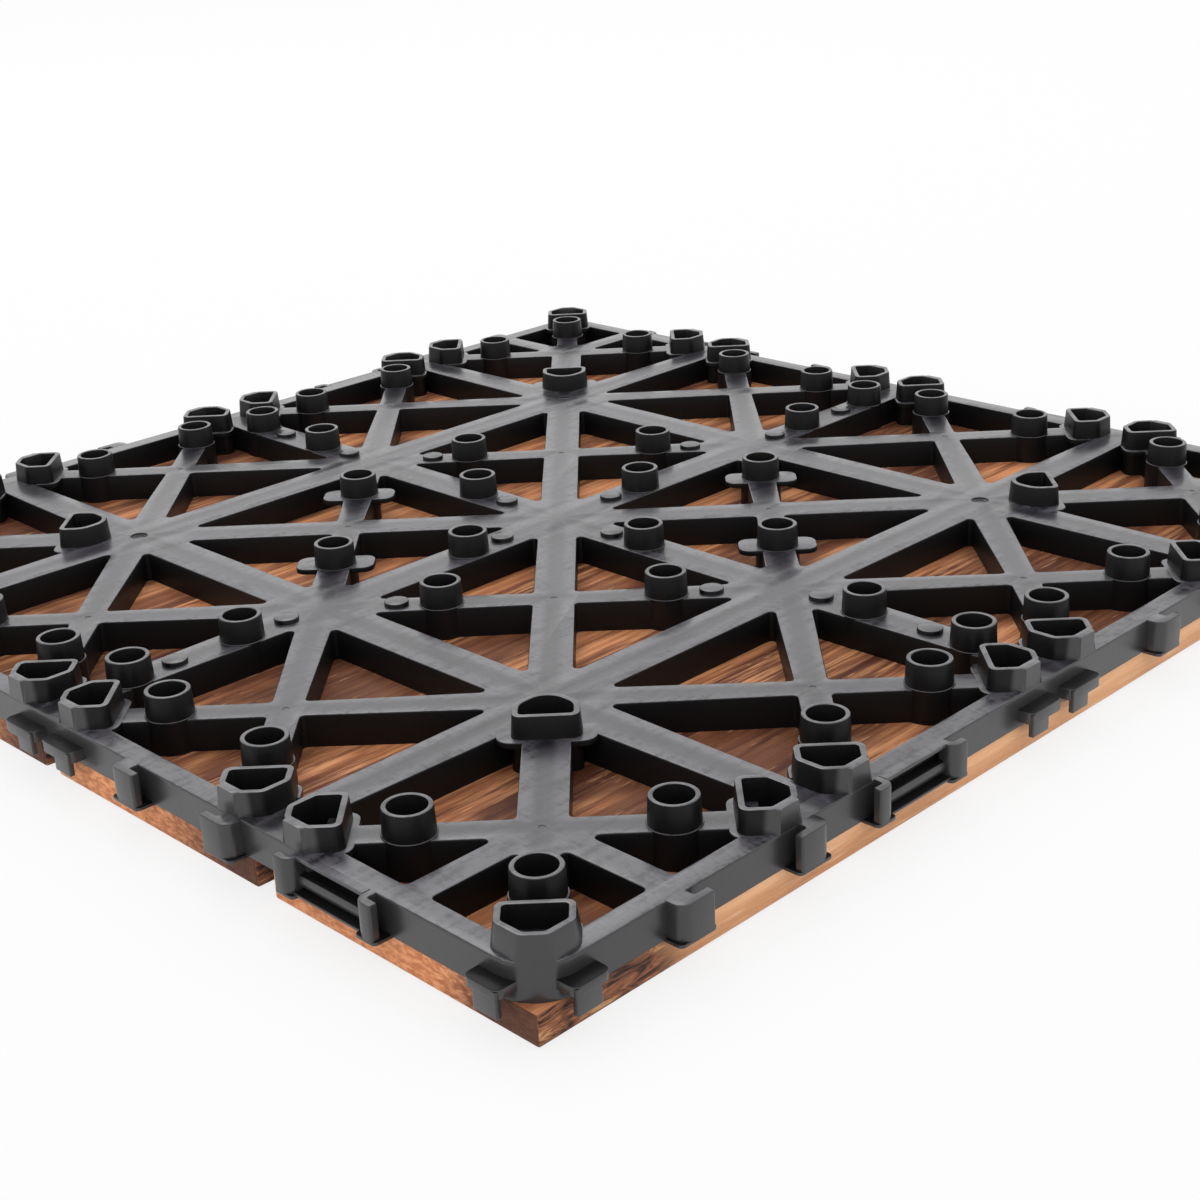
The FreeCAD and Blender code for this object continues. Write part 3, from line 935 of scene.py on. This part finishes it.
screw_profile = [
    (tip_radius, tip_low), (shank_radius, tip_low + tip_length), (shank_radius, leg_floor),
    (head_radius, leg_floor + 0.1), (head_radius, head_high - 0.5),
    (head_radius - 0.2, head_high - 0.2), (head_radius - 0.8, head_high)]
cross_arm = ((-cross_half, cross_half), (-cross_half, cross_reach), (cross_half, cross_reach))
cross = [turned(point, -degrees) for degrees in side_turns for point in cross_arm]
inset = border_leg - half
corner = corner_leg - half
screw_seats = ((corner, corner), (inset, -pitch - border_leg), (inset, -pitch + border_leg),
               (inset, -border_leg))

screws = Shape()
for centre in [(x * a, y * b) for x, y in screw_seats for a in (1, -1) for b in (1, -1)]:
    rings = screws.walls([(circle(centre, radius, screw_sides), level)
                          for radius, level in screw_profile])
    screws.cap([rings[0]], upward=False)
    hole = [(centre[0] + x, centre[1] + y) for x, y in cross]
    sunk = screws.walls([(hole, head_high - cross_depth), (hole, head_high)])
    screws.cap([sunk[0]])
    screws.cap([rings[-1], sunk[-1]])
screws = screws.piece("screws", screw_finish(), smooth_below=40)
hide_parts("slat_screws")


# Studio: a white floor and background with soft light from all round and one large soft lamp high
# behind the tile, as it was photographed. The camera looks down at the near corner.

floor_reach = 3.0
floor_level = -0.0002
floor_grey = 0.86
floor_rough = 0.9
floor_whiteness = 0.8
lamp_place = Vector((0.5, 0.9, 1.5))
lamp_target = Vector((0.0, 0.0, 0.01))
lamp_size = 0.9
lamp_watts = 4.0
camera_place = Vector((-0.31132, -0.33499, 0.17849))
camera_ahead = Vector((0.6429776, 0.66496908, -0.37999463))
camera_roll = math.radians(-2.7623)
camera_lens = 57.828
camera_sensor = 36.0
camera_shift = 2.0 / 1200
camera_clip = 0.01

floor_corners = [(x, y, floor_level) for x, y in (
    (-floor_reach, -floor_reach), (floor_reach, -floor_reach),
    (floor_reach, floor_reach), (-floor_reach, floor_reach))]
floor_mesh = bpy.data.meshes.new("floor")
floor_mesh.from_pydata(floor_corners, [], [(0, 1, 2, 3)])
floor = bpy.data.objects.new("floor", floor_mesh)
bpy.context.collection.objects.link(floor)

paper = bpy.data.materials.new("floor_paper")
paper.use_nodes = True
paper_nodes = paper.node_tree.nodes
paper_shader = paper_nodes["Principled BSDF"]
paper_shader.inputs["Roughness"].default_value = floor_rough
paper_shader.inputs["Base Color"].default_value = (floor_grey, floor_grey, floor_grey, 1)
white = paper_nodes.new("ShaderNodeEmission")
camera_ray, glossy_ray, clear_ray = (
    Wire(paper.node_tree).node("ShaderNodeLightPath", {}, {}, name)
    for name in ("Is Camera Ray", "Is Glossy Ray", "Is Transmission Ray"))
seen_white = camera_ray.greater(glossy_ray.greater(clear_ray)) * floor_whiteness
seen_floor = seen_white.node("ShaderNodeMixShader", {}, {
    0: seen_white, 1: Wire(paper.node_tree, paper_shader.outputs[0]),
    2: Wire(paper.node_tree, white.outputs[0])})
paper.node_tree.links.new(seen_floor.output, paper_nodes["Material Output"].inputs["Surface"])
floor_mesh.materials.append(paper)

world = bpy.data.worlds.new("studio_light")
world.use_nodes = True
bpy.context.scene.world = world
surround = world.node_tree.nodes["Background"]
surround.inputs["Color"].default_value = (1, 1, 1, 1)
surround.inputs["Strength"].default_value = 1.0

lamp_light = bpy.data.lights.new("key_lamp", "AREA")
lamp_light.shape = "DISK"
lamp_light.size = lamp_size
lamp_light.energy = lamp_watts
lamp = bpy.data.objects.new("key_lamp", lamp_light)
lamp.location = lamp_place
lamp.rotation_euler = (lamp_target - lamp_place).to_track_quat("-Z", "Y").to_euler()
bpy.context.collection.objects.link(lamp)

level_right = camera_ahead.cross(Vector((0, 0, 1))).normalized()
level_up = level_right.cross(camera_ahead)
camera_right = level_right * math.cos(camera_roll) + level_up * math.sin(camera_roll)
camera_up = camera_right.cross(camera_ahead)
view = bpy.data.cameras.new("camera")
view.lens = camera_lens
view.sensor_width = camera_sensor
view.shift_x = camera_shift
view.clip_start = camera_clip
camera = bpy.data.objects.new("camera", view)
camera.matrix_world = Matrix((
    (camera_right.x, camera_up.x, -camera_ahead.x, camera_place.x),
    (camera_right.y, camera_up.y, -camera_ahead.y, camera_place.y),
    (camera_right.z, camera_up.z, -camera_ahead.z, camera_place.z),
    (0, 0, 0, 1)))
bpy.context.collection.objects.link(camera)
bpy.context.scene.camera = camera
bpy.context.scene.view_settings.view_transform = "Standard"
